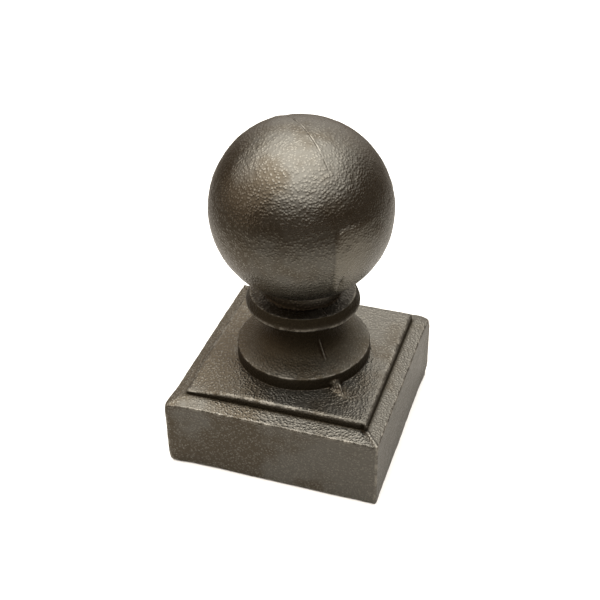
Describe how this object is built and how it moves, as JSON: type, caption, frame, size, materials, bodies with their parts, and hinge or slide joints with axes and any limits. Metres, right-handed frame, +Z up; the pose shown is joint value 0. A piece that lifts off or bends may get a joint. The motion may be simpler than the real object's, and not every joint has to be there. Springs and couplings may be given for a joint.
{
  "type": "ball post cap",
  "caption": "Cast iron ball finial on a waisted, collared neck and square base, open underneath to slip over the end of a square post.",
  "frame": {"origin": "middle of the underside, on the surface the cap stands on", "axes": "+Z up through the ball, -Y the front side, X across; the mould's parting line runs through the +X -Y and -X +Y corners"},
  "size_m": [0.05, 0.05, 0.08],
  "materials": {
    "iron": "bare, as cast from a sand mould: fine granular texture, dark brown grey with bright worn edges"
  },
  "bodies": {
    "root": {"ball_post_cap": "iron"}
  },
  "joints": []
}
